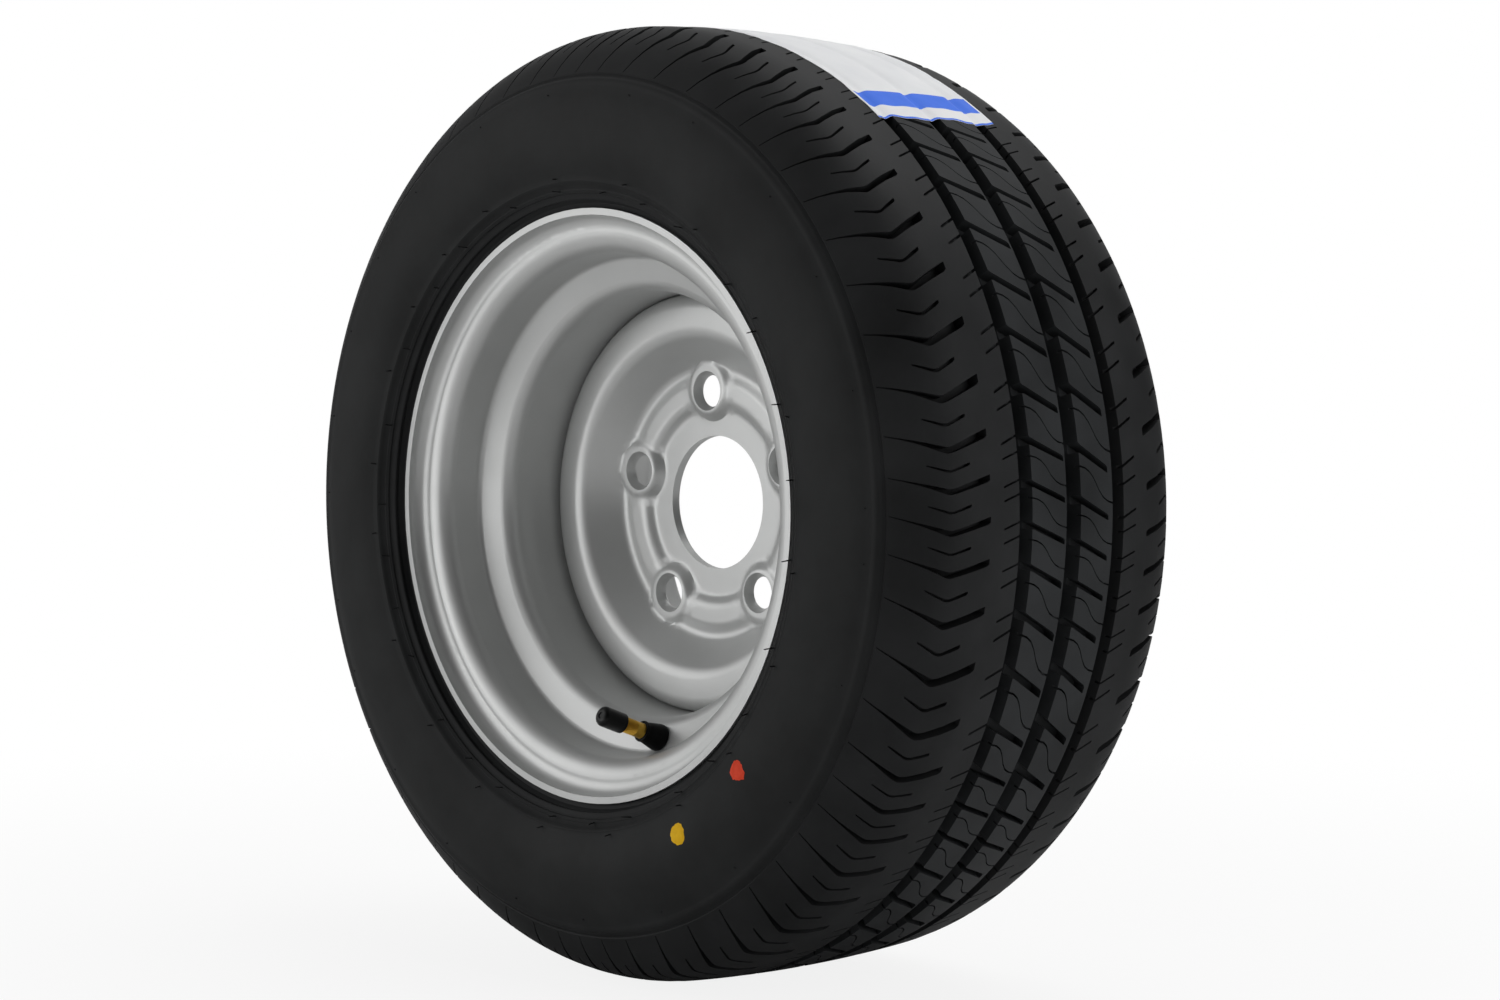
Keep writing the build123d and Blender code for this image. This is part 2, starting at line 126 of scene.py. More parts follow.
# Tread, lengths along the arc of the section; the outer grooves lie between INNER_EDGE and OUTER_EDGE
PITCH_SEQUENCE = "SMLLMSSSMLLLLMMS" * 4
PITCH_WEIGHT = {"S": 4.6, "M": 5.7, "L": 6.7}
PITCHES = len(PITCH_SEQUENCE)
PITCH_LENGTH = 23.0
FIRST_PITCH = math.radians(-35.0)
FAR_SHOULDER_SHIFT = math.radians(-8.4)
FAR_RIB_SHIFT = math.radians(-6.6)
MIDDLE_EDGE = 4.9
INNER_EDGE = 27.2
OUTER_EDGE = 35.4
TREAD_END = 101.4
GROOVE_DEPTH = 8.0
GROOVE_DRAFT = 1.1
GROOVE_MIDDLE = (INNER_EDGE + OUTER_EDGE) / 2

# Rows and columns of points in the tread's bands, their seams, and the free space beside a cut
SHOULDER_ROWS = [-TREAD_END, -97.5, *range(-94, -50, 4), -49, -45, -40, -OUTER_EDGE]
SHOULDER_SEAM = 0.255
SHOULDER_SEAM_AT = 75.0
SHOULDER_SLANT = -0.00154
RIB_STEPS = 5
RIB_SEAM = -0.63
BAND_COLUMNS = 4
CUT_GAP = 0.9

# Shoulder cuts as (arc length, turn in pitches, width), with their depths as (arc length, depth)
SIDE_GROOVE = [
    (-100.6, 0.42, 0.5),
    (-94.0, 0.325, 0.8),
    (-87.5, 0.225, 1.3),
    (-82.0, 0.135, 2.1),
    (-77.5, 0.055, 2.9),
    (-75.2, 0.016, 3.2),
    (-73.6, 0.0, 3.3),
    (-72.0, 0.012, 3.3),
    (-69.5, 0.05, 3.4),
    (-62.0, 0.175, 3.7),
    (-54.5, 0.29, 3.9),
    (-53.0, 0.325, 3.2),
]
SIDE_GROOVE_DEPTHS = [(-100.6, 0.5), (-94.0, 1.2), (-87.0, 3.5), (-80.0, 6.5), (-73.0, 7.2), (-53.0, 6.2)]
SIDE_SIPE = [
    (-83.6, 0.665, 0.8),
    (-79.0, 0.582, 1.2),
    (-74.8, 0.507, 1.4),
    (-73.4, 0.5, 1.4),
    (-72.0, 0.511, 1.4),
    (-68.0, 0.587, 1.6),
    (-64.4, 0.655, 1.6),
    (-63.7, 0.672, 1.1),
]
SIDE_SIPE_DEPTHS = [(-83.6, 1.2), (-79.0, 3.0), (-63.7, 3.0)]
EDGE_SLIT = [(-44.8, 0.0, 0.9), (-44.0, 0.014, 1.2), (-34.6, 0.184, 1.2)]
EDGE_SLIT_DEPTHS = [(-44.8, 2.5), (-OUTER_EDGE, 3.5)]
EDGE_SLIT_TURNS = (-0.26, 0.075)

# Rib slots and wavy sipes; a land is what a slot leaves uncut, a wave is (share of width, turn)
NEAR_LAND = 1.0
FAR_LAND = 3.0
SLOT_START = 0.15
SLOT_FALL = 0.42
SLOT_FLARE = 1.2
SLOT_TAPER = 1.0
SLOT_WIDTHS = (4.6, 3.5, 3.4, 2.6)
SLOT_DEPTHS = (6.5, 6.0)
CUT_OVERRUN = 0.8
OVERRUN_TURN = 0.01
RIB_SIPE_WIDTH = 0.9
RIB_SIPE_DEPTH = 3.0
HALF_WAVE = [(0.0, 0.34), (0.16, 0.38), (0.3, 0.46), (0.42, 0.59), (0.5, 0.71)]

# Disc section as (radius, across), its bends, and the bolt bosses
DISC_PATH = [
    (33.5, 1.0),
    (46.3, 1.0),
    (51.3, -3.5),
    (61.0, -3.5),
    (67.5, -0.5),
    (84.0, -19.5),
    (104.85, -19.5),
]
DISC_SKIRT_END = 12.0
DISC_BENDS = [6.0, 6.5, 5.0, 5.0, 10.0, 8.0]
DISC_SHEET = 4.0
DISC_BORE = DISC_PATH[0][0]
BOLTS = 5
BOLT_RADIUS = 56.0
FIRST_BOLT = 92.46
BOLT_ANGLES = [math.radians(FIRST_BOLT + 360.0 * k / BOLTS) for k in range(BOLTS)]
BOLT_HOLES = [(BOLT_RADIUS * math.cos(angle), BOLT_RADIUS * math.sin(angle)) for angle in BOLT_ANGLES]
HOLE_RADIUS = 8.0
SEAT_MOUTH = 10.0
SEAT_DEPTH = 3.46
BOSS_OFFSET = 1.5
BOSS_FRONT = -4.5
BOSS_ROOT = 1.0
BOSS_TOP_REACH = 12.0
BOSS_FOOT_REACH = 18.0
BOSS_BLEND = 1.2
HOLE_BACK = 0.5

# Points of the disc: rings round the axle out to DISC_MIDDLE, closer at the bends, and round the bosses
DISC_MIDDLE = 76.0
DISC_SEGMENTS = 160
BORE_SEGMENTS = 96
HOLE_SEGMENTS = 40
BOSS_RINGS = (10.8, 11.8, 12.9, 14.1, 15.4, 16.8, 18.3)
BOSS_CLEAR = 19.2
BORE_MARGIN = 1.2
MIDDLE_MARGIN = 0.9
CROWN_MARGIN = 0.5
BEND_ZONES = ((45.0, 53.0), (58.5, 70.0))
BEND_STEP = 0.8
PLAIN_STEP = 1.5

# Label on the tread: v runs along it from its near end, s across; waves are (height, length, phase)
LABEL_LENGTH = 278.0
LABEL_START = math.radians(50.3)
LABEL_NEAR = -37.2
LABEL_NEAR_WAVES = ((0.5, 17.0, 0.0), (0.3, 5.3, 1.0))
LABEL_FAR = 43.8
LABEL_FAR_WAVES = ((0.5, 13.0, 2.0), (0.25, 4.1, 0.0))
LABEL_TORN_WAVES = ((0.9, 6.0, 0.0), (0.5, 2.3, 0.7))
LABEL_TORN_REACH = 25.0
LABEL_SKEW = 0.035
LABEL_SKEW_FADE = 20.0
LABEL_TOP = 0.26
LABEL_UNDER = 0.06
LABEL_DIP = 1.3
LABEL_DIP_WIDTH = 2.6
LABEL_BORDER = [0.0, 1.3, 9.8, 22.8]
LABEL_BLUE_ROWS = (0, 2)
LABEL_STEPS = 90
LABEL_COLUMNS = 54
LABEL_SEED = 5
CREASES = 6
CREASE_HEIGHT = 0.028
CREASE_PHASE = (0.0, 6.28)
CREASE_RATE = (0.3, 0.72)
CREASE_LEAN = (-0.35, 0.35)

# Paint marks: arc length, degrees round the tyre, radius, roughness, tail, seed
YELLOW_MARK = (-140.9, 298.75, 5.0, 0.06, 0.15, 3)
RED_MARK = (-143.4, 316.25, 4.6, 0.08, 0.5, 8)

# Section of a daub of paint as (share of its outline, lift), and the angle to which its tail runs
DAUB_SECTION = ((0.0, 0.22), (0.55, 0.22), (0.88, 0.18), (1.0, 0.02))
DAUB_POINTS = 28
DAUB_TAIL_ANGLE = 0.4
DAUB_TAIL_POWER = 6

# Rows of vent hairs: inset from the bead along the section, spacing in degrees, least and most length
VENT_ROWS = ((9.0, 13.0, 4.0, 6.0), (16.0, 17.0, 2.2, 3.4), (58.0, 15.0, 0.4, 0.8))
VENT_SEED = 11
VENT_SPACING = (0.75, 1.25)
HAIR_SIDES = 6
HAIR_LEAN = 0.25
HAIR_ROOT = -0.4
HAIR_RADII = (0.36, 0.32, 0.22)

# Valve, heights along its axis from the rim's face
JOINTS = {joint["name"]: joint for joint in frame["record"]["behaviour"]["joints"]}
VALVE_FOOT = Vector(JOINTS["cap_turn"]["pos_m"]) / MM
VALVE_OUT = Vector(JOINTS["cap_turn"]["axis"]).normalized()
VALVE_SEGMENTS = 48
VALVE_END = -10.6
RUBBER_BORE = 3.88
RUBBER_NECK = 5.55
RUBBER_TOP = 12.6
STEM_RADIUS = 3.85
STEM_BORE = 1.9
STEM_TOP = 36.0
CORE_BORE = 2.65
CORE_SEAT = 25.8
THREAD_START = 17.5
THREAD_PITCH = 0.794
THREAD_ROOT = 3.5
CAP_BORE = 3.93
CAP_RADIUS = 5.0
CAP_MOUTH = 25.0
CAP_ROOF = 37.3
CAP_TIP = 39.1

# Half sections of the valve as (radius, height), and one turn of its thread as (radius, rise)
VALVE_BODY = [
    (RUBBER_BORE, VALVE_END),
    (4.5, VALVE_END),
    (6.1, -5.6),
    (RUBBER_NECK, -5.6),
    (RUBBER_NECK, 0.15),
    (6.15, 0.15),
    (6.55, 0.4),
    (6.75, 0.9),
    (6.75, 1.9),
    (6.6, 2.9),
    (5.15, 10.0),
    (4.95, 10.8),
    (5.0, 11.2),
    (5.25, 11.4),
    (5.3, 11.9),
    (5.15, 12.4),
    (4.7, RUBBER_TOP),
    (RUBBER_BORE, RUBBER_TOP),
]
STEM_SHANK = [
    (STEM_BORE, VALVE_END),
    (STEM_RADIUS, VALVE_END),
    (STEM_RADIUS, 13.0),
    (3.7, 13.2),
    (3.7, 13.8),
    (STEM_RADIUS, 14.0),
]
THREAD_FORM = ((STEM_RADIUS, 0.0), (STEM_RADIUS, 0.2), (THREAD_ROOT, 0.45), (THREAD_ROOT, 0.55))
STEM_END = [(3.6, STEM_TOP), (CORE_BORE, STEM_TOP), (CORE_BORE, CORE_SEAT), (STEM_BORE, CORE_SEAT)]
CAP_SHELL = [
    (0.0, CAP_ROOF),
    (CAP_BORE, CAP_ROOF),
    (CAP_BORE, CAP_MOUTH),
    (4.65, CAP_MOUTH),
    (4.95, 25.25),
    (CAP_RADIUS, 25.8),
    (CAP_RADIUS, 36.2),
    (4.9, 37.1),
    (4.55, 37.9),
    (3.9, 38.55),
    (3.1, 38.95),
    (2.3, CAP_TIP),
    (1.7, CAP_TIP),
    (1.45, 38.95),
    (1.3, 38.5),
    (0.0, 38.4),
]

# Used part of a noise's range, and the tyre's colour by distance in metres from its middle plane; its
# lighter middle ribs and darker shoulders are painted light on the tread
NOISE_MIDDLE = (0.3, 0.7)
RUBBER_PAINTED_LIGHT_ZONES = (
    (0.028, (0.0265, 0.028, 0.0295)),
    (0.033, (0.021, 0.02163, 0.02247)),
    (0.078, (0.016, 0.01648, 0.01712)),
    (0.09, (0.0155, 0.015965, 0.016585)),
    (0.1, (0.0165, 0.0172, 0.0173)),
)

# Floor, in metres: shade for light and for the camera, and where its glow rises to full
FLOOR_REACH = 20.0
FLOOR_SHADES = (0.85, 0.95)
FLOOR_FADE = (0.2, 1.1)
FLOOR_GLOW = (0.86, 1.0)

# Surroundings: patches of light as direction, cosines where it starts and is full, strength
WHITE = (1.0, 1.0, 1.0, 1.0)
BEHIND_PATCH = ((-0.735, 0.678, 0.0), 0.8, 0.95, 1.0)
LEFT_PATCH = ((-0.6, -0.8, 0.25), 0.5, 0.92, 0.7)
TOP_PATCH = ((-0.3, 0.5, 0.8), 0.6, 0.92, 0.72)
LEAST_LIGHT = 0.02

# Lamps: name, place and aim in metres, width and height, power in watts
LAMPS = (
    ("front_light", (-1.3, -1.5, 0.7), (0.0, 0.0, 0.0), (1.2, 1.2), 5.2),
    ("low_light", (-0.5, -1.5, -0.05), (0.0, 0.0, 0.1), (1.5, 0.3), 3.4),
    ("right_light", (1.6, 0.35, 0.45), (0.0, 0.0, 0.0), (1.0, 1.0), 8.0),
    ("over_light", (0.35, 0.45, 1.6), (0.0, 0.0, 0.0), (1.2, 1.2), 10.0),
)

# Camera: turned round the wheel from straight in front, and raised
CAMERA_AZIMUTH = math.radians(47.329)
CAMERA_HEIGHT = math.radians(1.899)
CAMERA_DISTANCE = 1.4784
CAMERA_SENSOR = 36.0
CAMERA_LENS = 70.58
CAMERA_SHIFT = (0.0223, 0.0015)


def clamp(share):
    return min(1.0, max(0.0, share))


def arc_table():
    """Arcs of the tyre's outer section: centre, radius, first and last angle from outward."""
    first = math.asin(CROWN_HALF_WIDTH / CROWN_RADIUS)
    edge = TYRE_RADIUS - CROWN_RADIUS + CROWN_RADIUS * math.cos(first)
    shoulder = (
        CROWN_HALF_WIDTH - SHOULDER_RADIUS * math.sin(first),
        edge - SHOULDER_RADIUS * math.cos(first),
    )
    step = SIDEWALL_RADIUS - SHOULDER_RADIUS
    axis = HALF_SECTION - SIDEWALL_RADIUS
    bend = math.asin((shoulder[0] - axis) / step)
    wall = (axis, shoulder[1] - step * math.cos(bend))
    low = (HALF_SECTION - LOWER_RADIUS, wall[1])
    last = math.pi / 2 + math.asin((wall[1] - LOWER_ARC_END) / LOWER_RADIUS)
    return [
        ((0.0, TYRE_RADIUS - CROWN_RADIUS), CROWN_RADIUS, 0.0, first),
        (shoulder, SHOULDER_RADIUS, first, bend),
        (wall, SIDEWALL_RADIUS, bend, math.pi / 2),
        (low, LOWER_RADIUS, math.pi / 2, last),
    ]


ARCS = arc_table()
SECTION_END = sum(radius * (last - first) for _, radius, first, last in ARCS)


def section(s, lift=0.0):
    """Point (across, radius) of the outer surface at an arc length from the middle."""
    side = -1.0 if s < 0 else 1.0
    rest = abs(s)
    for centre, radius, first, last in ARCS:
        length = radius * (last - first)
        if rest <= length or last == ARCS[-1][3]:
            break
        rest -= length
    angle = first + rest / radius
    return (
        side * (centre[0] + (radius + lift) * math.sin(angle)),
        centre[1] + (radius + lift) * math.cos(angle),
    )


def pitch_knots():
    """Angles at which the pitches of the tread begin, and where the last one ends."""
    ends = [0.0]
    for letter in PITCH_SEQUENCE:
        ends.append(ends[-1] + PITCH_WEIGHT[letter])
    return [FIRST_PITCH + end * FULL_TURN / ends[-1] for end in ends]


KNOTS = pitch_knots()


def turn(u):
    """Angle round the tyre of a position counted in pitches."""
    whole = math.floor(u)
    index = whole % PITCHES
    laps = (whole - index) // PITCHES
    return laps * FULL_TURN + KNOTS[index] + (u - whole) * (KNOTS[index + 1] - KNOTS[index])


def triangulated(points, loops):
    """Flat points and triangles inside closed loops, each triangle with the loops that it lies in."""
    flat = [Vector(point) for point in points]
    result = delaunay_2d_cdt(flat, [], loops, TRIANGLES_INSIDE, MERGE_GAP, True)
    return [(point.x, point.y) for point in result[0]], list(zip(result[2], result[5]))


def numbered(loops):
    """The loops as runs of numbers, counted on from one to the next."""
    runs = []
    first = 0
    for loop in loops:
        runs.append(list(range(first, first + len(loop))))
        first += len(loop)
    return runs


def new_object(name, data):
    """New object, put into the scene."""
    thing = bpy.data.objects.new(name, data)
    bpy.context.scene.collection.objects.link(thing)
    return thing


def give_finish(part, material):
    """Puts one material in place of those that a solid came with."""
    part.data.materials.clear()
    part.data.materials.append(material)


class Skin:
    """Points and polygons of one piece, collected in millimetres."""

    def __init__(self):
        self.points = []
        self.faces = []

    def point(self, x, y, z):
        self.points.append((x * MM, y * MM, z * MM))
        return len(self.points) - 1

    def ring_point(self, across, radius, angle):
        return self.point(radius * math.cos(angle), across, radius * math.sin(angle))

    def strip(self, low, high):
        """Quads between two closed rings with as many points."""
        for k in range(len(low)):
            n = (k + 1) % len(low)
            self.faces.append((low[k], low[n], high[n], high[k]))

    def lathe(self, profile, segments):
        """Rings of quads through a profile of (across, radius); gives the rings back."""
        angles = [FULL_TURN * k / segments for k in range(segments)]
        rings = [[self.ring_point(across, radius, angle) for angle in angles] for across, radius in profile]
        for low, high in zip(rings, rings[1:]):
            self.strip(low, high)
        return rings

    def zip_loops(self, one, two):
        """Triangles between two closed loops of (angle, index)."""
        one = sorted((angle % FULL_TURN, index) for angle, index in one)
        two = sorted((angle % FULL_TURN, index) for angle, index in two)
        i = j = 0
        while i < len(one) or j < len(two):
            next_one = one[i + 1][0] if i + 1 < len(one) else FULL_TURN + one[0][0]
            next_two = two[j + 1][0] if j + 1 < len(two) else FULL_TURN + two[0][0]
            a = one[i % len(one)][1]
            b = two[j % len(two)][1]
            if j >= len(two) or (i < len(one) and next_one <= next_two):
                i += 1
                self.faces.append((a, one[i % len(one)][1], b))
            else:
                j += 1
                self.faces.append((a, two[j % len(two)][1], b))

    def build(self, name, body, material, sharp=35.0):
        """The piece as an object on its body; edges bent by more than sharp degrees stay crisp."""
        mesh = bpy.data.meshes.new(name)
        mesh.from_pydata(self.points, [], self.faces)
        work = bmesh.new()
        work.from_mesh(mesh)
        bmesh.ops.recalc_face_normals(work, faces=work.faces)
        work.to_mesh(mesh)
        work.free()
        mesh.shade_smooth()
        mesh.set_sharp_from_angle(angle=math.radians(sharp))
        mesh.materials.append(material)
        piece = new_object(name, mesh)
        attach(piece, body)
        return piece


class Cut:
    """A groove or sipe in the tread: its outline in (arc length, turn) and its depth along it."""

    def __init__(self, path, depths):
        self.path = path
        self.depths = depths

    def outline(self):
        left = [(s, u * PITCH_LENGTH - width / 2) for s, u, width in self.path]
        right = [(s, u * PITCH_LENGTH + width / 2) for s, u, width in self.path]
        return left + right[::-1]

    def depth(self, s):
        if s <= self.depths[0][0]:
            return self.depths[0][1]
        for (s0, d0), (s1, d1) in zip(self.depths, self.depths[1:]):
            if s <= s1:
                return d0 + (d1 - d0) * (s - s0) / (s1 - s0)
        return self.depths[-1][1]


def half_turned(cut):
    """The same cut on the other side of the tread, as if the tyre were turned end for end."""
    path = [(-s, -u, width) for s, u, width in reversed(cut.path)]
    return Cut(path, [(-s, depth) for s, depth in reversed(cut.depths)])


def near_edge(point, outline, gap):
    """Whether a point lies within a gap of an outline."""
    x, y = point
    for (ax, ay), (bx, by) in zip(outline, outline[1:] + outline[:1]):
        length = (bx - ax) ** 2 + (by - ay) ** 2
        share = clamp(((x - ax) * (bx - ax) + (y - ay) * (by - ay)) / length) if length else 0.0
        if math.hypot(x - ax - share * (bx - ax), y - ay - share * (by - ay)) < gap:
            return True
    return False


def inside(point, outline):
    """Whether a point lies within a closed outline."""
    within = False
    for (ax, ay), (bx, by) in zip(outline, outline[1:] + outline[:1]):
        if (ay > point[1]) != (by > point[1]):
            if point[0] < ax + (point[1] - ay) * (bx - ax) / (by - ay):
                within = not within
    return within


class Band:
    """A strip of the tread between two arc lengths: one triangulated pitch, repeated round the tyre."""

    def __init__(self, skin, rows, seam, cuts, shift):
        self.skin = skin
        self.cuts = cuts
        self.shift = shift
        self.indices = {}
        self.mesh_cell(rows, seam)
        self.copy_cells()

    def mesh_cell(self, rows, seam):
        """One pitch as triangles, each with the number of the cut it lies in, or zero."""
        start = [(s, PITCH_LENGTH * seam(s)) for s in rows]
        finish = [(s, y + PITCH_LENGTH) for s, y in start]
        shares = [PITCH_LENGTH * k / BAND_COLUMNS for k in range(1, BAND_COLUMNS)]
        low = [(start[0][0], start[0][1] + share) for share in shares]
        high = [(start[-1][0], start[-1][1] + share) for share in shares]
        border = start + high + finish[::-1] + low[::-1]
        outlines = [cut.outline() for cut in self.cuts]
        free = []
        for s, y in start[1:-1]:
            for share in shares:
                spot = (s, y + share)
                if not any(inside(spot, line) or near_edge(spot, line, CUT_GAP) for line in outlines):
                    free.append(spot)
        loops = [border] + outlines
        points = [point for loop in loops for point in loop]
        self.flat, faces = triangulated(points + free, numbered(loops))
        self.triangles = [(tuple(face), max(origin)) for face, origin in faces if 0 in origin]
        self.right_seam = {}
        for k, (x, y) in enumerate(self.flat):
            if abs(y - PITCH_LENGTH * (seam(x) + 1)) < SAME_PLACE:
                for m, (x2, y2) in enumerate(self.flat):
                    if abs(x2 - x) < SAME_PLACE and abs(y2 + PITCH_LENGTH - y) < SAME_PLACE:
                        self.right_seam[k] = m

    def index(self, pitch, corner, cut):
        """Number of a corner's point in one pitch: on the surface for zero, or down in a cut."""
        if corner in self.right_seam:
            pitch = (pitch + 1) % PITCHES
            corner = self.right_seam[corner]
        key = (pitch, corner, cut)
        if key not in self.indices:
            s = self.flat[corner][0]
            depth = self.cuts[cut - 1].depth(s) if cut else 0.0
            across, radius = section(s, -depth)
            self.indices[key] = self.skin.ring_point(across, radius, self.angle(pitch, corner))
        return self.indices[key]

    def angle(self, pitch, corner):
        return turn(pitch + self.flat[corner][1] / PITCH_LENGTH) + self.shift

    def copy_cells(self):
        """The pitch's triangles and the walls of its cuts, all round the tyre."""
        sides = {}
        for (a, b, c), cut in self.triangles:
            for edge in ((a, b), (b, c), (c, a)):
                sides.setdefault(tuple(sorted(edge)), []).append((edge, cut))
        walls = [pair for pair in sides.values() if len(pair) == 2 and pair[0][1] != pair[1][1]]
        self.single = [pair[0] for pair in sides.values() if len(pair) == 1]
        for pitch in range(PITCHES):
            for corners, cut in self.triangles:
                self.skin.faces.append(tuple(self.index(pitch, corner, cut) for corner in corners))
            for ((a, b), one), (_, two) in walls:
                quad = [(a, one), (b, one), (b, two), (a, two)]
                self.skin.faces.append(tuple(self.index(pitch, corner, cut) for corner, cut in quad))

    def lies_at(self, corner, s):
        return abs(self.flat[corner][0] - s) < SAME_PLACE

    def edge_loop(self, s):
        """Loop of (angle, index) along one uncut edge of the band."""
        ends = {corner for edge, _ in self.single for corner in edge if self.lies_at(corner, s)}
        corners = [corner for corner in ends if corner not in self.right_seam]
        return [(self.angle(p, c), self.index(p, c, 0)) for p in range(PITCHES) for c in corners]

    def wall_loop(self, s, foot_s):
        """Wall of a main groove below one edge of the band; gives the loop along its foot back."""
        runs = []
        for (a, b), cut in self.single:
            if self.lies_at(a, s) and self.lies_at(b, s):
                if self.flat[a][1] > self.flat[b][1]:
                    a, b = b, a
                runs.append((a, b, cut))
        levels = {}
        for a, b, cut in runs:
            for corner in (a, b):
                levels.setdefault(self.right_seam.get(corner, corner), set()).add(cut)
        across, radius = section(foot_s, -GROOVE_DEPTH)
        feet = {}
        for pitch in range(PITCHES):
            for a, b, cut in runs:
                tops = []
                for corner in (a, b):
                    plain = self.right_seam.get(corner, corner)
                    lap = (pitch + 1) % PITCHES if corner in self.right_seam else pitch
                    if (lap, plain) not in feet:
                        angle = self.angle(pitch, corner)
                        feet[(lap, plain)] = (angle, self.skin.ring_point(across, radius, angle))
                    deeper = [level for level in levels[plain] if level and not cut]
                    column = [self.index(pitch, corner, cut)]
                    column += [self.index(pitch, corner, level) for level in deeper]
                    tops.append(column + [feet[(lap, plain)][1]])
                self.skin.faces.append(tuple(tops[0][::-1] + tops[1]))
        return list(feet.values())


def slanted(zero, slope, origin):
    """Straight seam between pitches: its turn at an arc length."""
    return lambda s: zero + slope * (s - origin)


def near_shoulder_cuts():
    """Groove, sipe and the two slits at the inner edge of one pitch of the near shoulder."""
    cuts = [Cut(SIDE_GROOVE, SIDE_GROOVE_DEPTHS), Cut(SIDE_SIPE, SIDE_SIPE_DEPTHS)]
    for first in EDGE_SLIT_TURNS:
        path = [(s, first + u, width) for s, u, width in EDGE_SLIT]
        cuts.append(Cut(path, EDGE_SLIT_DEPTHS))
    return cuts


def rib_cuts(low, high, land):
    """Slot and wavy sipe of one middle rib, both open to the groove on the near side."""
    end = high - land
    slope = SLOT_FALL / (end - low)
    last = SLOT_START - SLOT_FALL
    places = [
        (low - CUT_OVERRUN, SLOT_START + slope * CUT_OVERRUN),
        (low + SLOT_FLARE, SLOT_START - slope * SLOT_FLARE),
        (end - SLOT_TAPER, last + slope * SLOT_TAPER),
        (end, last - OVERRUN_TURN),
    ]
    path = [(s, u, width) for (s, u), width in zip(places, SLOT_WIDTHS)]
    slot = Cut(path, list(zip((low, end), SLOT_DEPTHS)))
    fall = 2 * HALF_WAVE[-1][1]
    wave = HALF_WAVE + [(1.0 - share, fall - drop) for share, drop in reversed(HALF_WAVE[:-1])]
    places = [(low + share * (high - low), SLOT_START - drop) for share, drop in wave]
    places[0] = (low - CUT_OVERRUN, places[0][1] + OVERRUN_TURN)
    places[-1] = (high + CUT_OVERRUN, places[-1][1] - OVERRUN_TURN)
    path = [(s, u, RIB_SIPE_WIDTH) for s, u in places]
    return [slot, Cut(path, [(low, RIB_SIPE_DEPTH), (high, RIB_SIPE_DEPTH)])]


def tyre_profile():
    """Sidewalls, beads and the inside of the tyre, from the near shoulder round to the far one."""
    relief = SHOULDER_RIDGE + [(SUNKEN_START, -SIDEWALL_SINK / 2)]
    relief += [(SUNKEN_START + SUNKEN_STEP * (k + 1), -SIDEWALL_SINK) for k in range(SUNKEN_ROWS)]
    relief += SIDEWALL_RIBS + [(SECTION_END - before, lift) for before, lift in BEAD_RIDGE]
    half = [section(s, lift) for s, lift in relief] + BEAD + LINER
    return [(-across, radius) for across, radius in half] + half[::-1]


def make_tyre(material):
    """Tyre: two shoulders and two ribs with the main grooves between them, closed by the sidewalls."""
    skin = Skin()
    near_cuts = near_shoulder_cuts()
    far_cuts = [half_turned(cut) for cut in near_cuts]
    far_rows = [-s for s in reversed(SHOULDER_ROWS)]
    near_seam = slanted(-SHOULDER_SEAM, SHOULDER_SLANT, -SHOULDER_SEAM_AT)
    far_seam = slanted(SHOULDER_SEAM - 1.0, SHOULDER_SLANT, SHOULDER_SEAM_AT)
    near = Band(skin, SHOULDER_ROWS, near_seam, near_cuts, 0.0)
    far = Band(skin, far_rows, far_seam, far_cuts, FAR_SHOULDER_SHIFT)
    ribs = []
    for low, high, land, shift in (
        (-INNER_EDGE, -MIDDLE_EDGE, NEAR_LAND, 0.0),
        (MIDDLE_EDGE, INNER_EDGE, FAR_LAND, FAR_RIB_SHIFT),
    ):
        rows = [low + (high - low) * k / RIB_STEPS for k in range(RIB_STEPS + 1)]
        seam = slanted(RIB_SEAM, -SLOT_FALL / (high - low - land), low)
        ribs.append(Band(skin, rows, seam, rib_cuts(low, high, land), shift))
    left, right = ribs
    for one, one_s, two, two_s in (
        (near, -OUTER_EDGE, left, -INNER_EDGE),
        (left, -MIDDLE_EDGE, right, MIDDLE_EDGE),
        (right, INNER_EDGE, far, OUTER_EDGE),
    ):
        foot_one = one.wall_loop(one_s, one_s + GROOVE_DRAFT)
        foot_two = two.wall_loop(two_s, two_s - GROOVE_DRAFT)
        skin.zip_loops(foot_one, foot_two)
    rings = skin.lathe(tyre_profile(), TYRE_SEGMENTS)
    for ring, band, s in ((rings[0], near, -TREAD_END), (rings[-1], far, TREAD_END)):
        loop = [(FULL_TURN * k / TYRE_SEGMENTS, index) for k, index in enumerate(ring)]
        skin.zip_loops(band.edge_loop(s), loop)
    piece = skin.build("tyre_mesh", "wheel", material)
    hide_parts("tyre")


def filleted(corners, radii, steps=8):
    """Points along a line through the corners, with the inner ones rounded to the given radii."""
    path = [Vector(corners[0])]
    for before, corner, after, radius in zip(corners, corners[1:], corners[2:], radii):
        corner = Vector(corner)
        back = (Vector(before) - corner).normalized()
        ahead = (Vector(after) - corner).normalized()
        half = back.angle(ahead) / 2
        centre = corner + (back + ahead).normalized() * radius / math.sin(half)
        start = corner + back * radius / math.tan(half) - centre
        sweep = start.angle_signed(corner + ahead * radius / math.tan(half) - centre)
        first = math.atan2(start.y, start.x)
        for k in range(steps + 1):
            angle = first - sweep * k / steps
            path.append(centre + radius * Vector((math.cos(angle), math.sin(angle))))
    return path + [Vector(corners[-1])]


DISC_LINE = filleted(DISC_PATH + [(DISC_PATH[-1][0], DISC_SKIRT_END)], DISC_BENDS)


def disc_height(radius):
    """Place across, and slope, of the disc's plain front face at a radius inside its crown."""
    for one, two in zip(DISC_LINE, DISC_LINE[1:]):
        if radius <= two.x:
            slope = (two.y - one.y) / (two.x - one.x)
            return one.y + (radius - one.x) * slope, slope
    return DISC_LINE[-1].y, 0.0


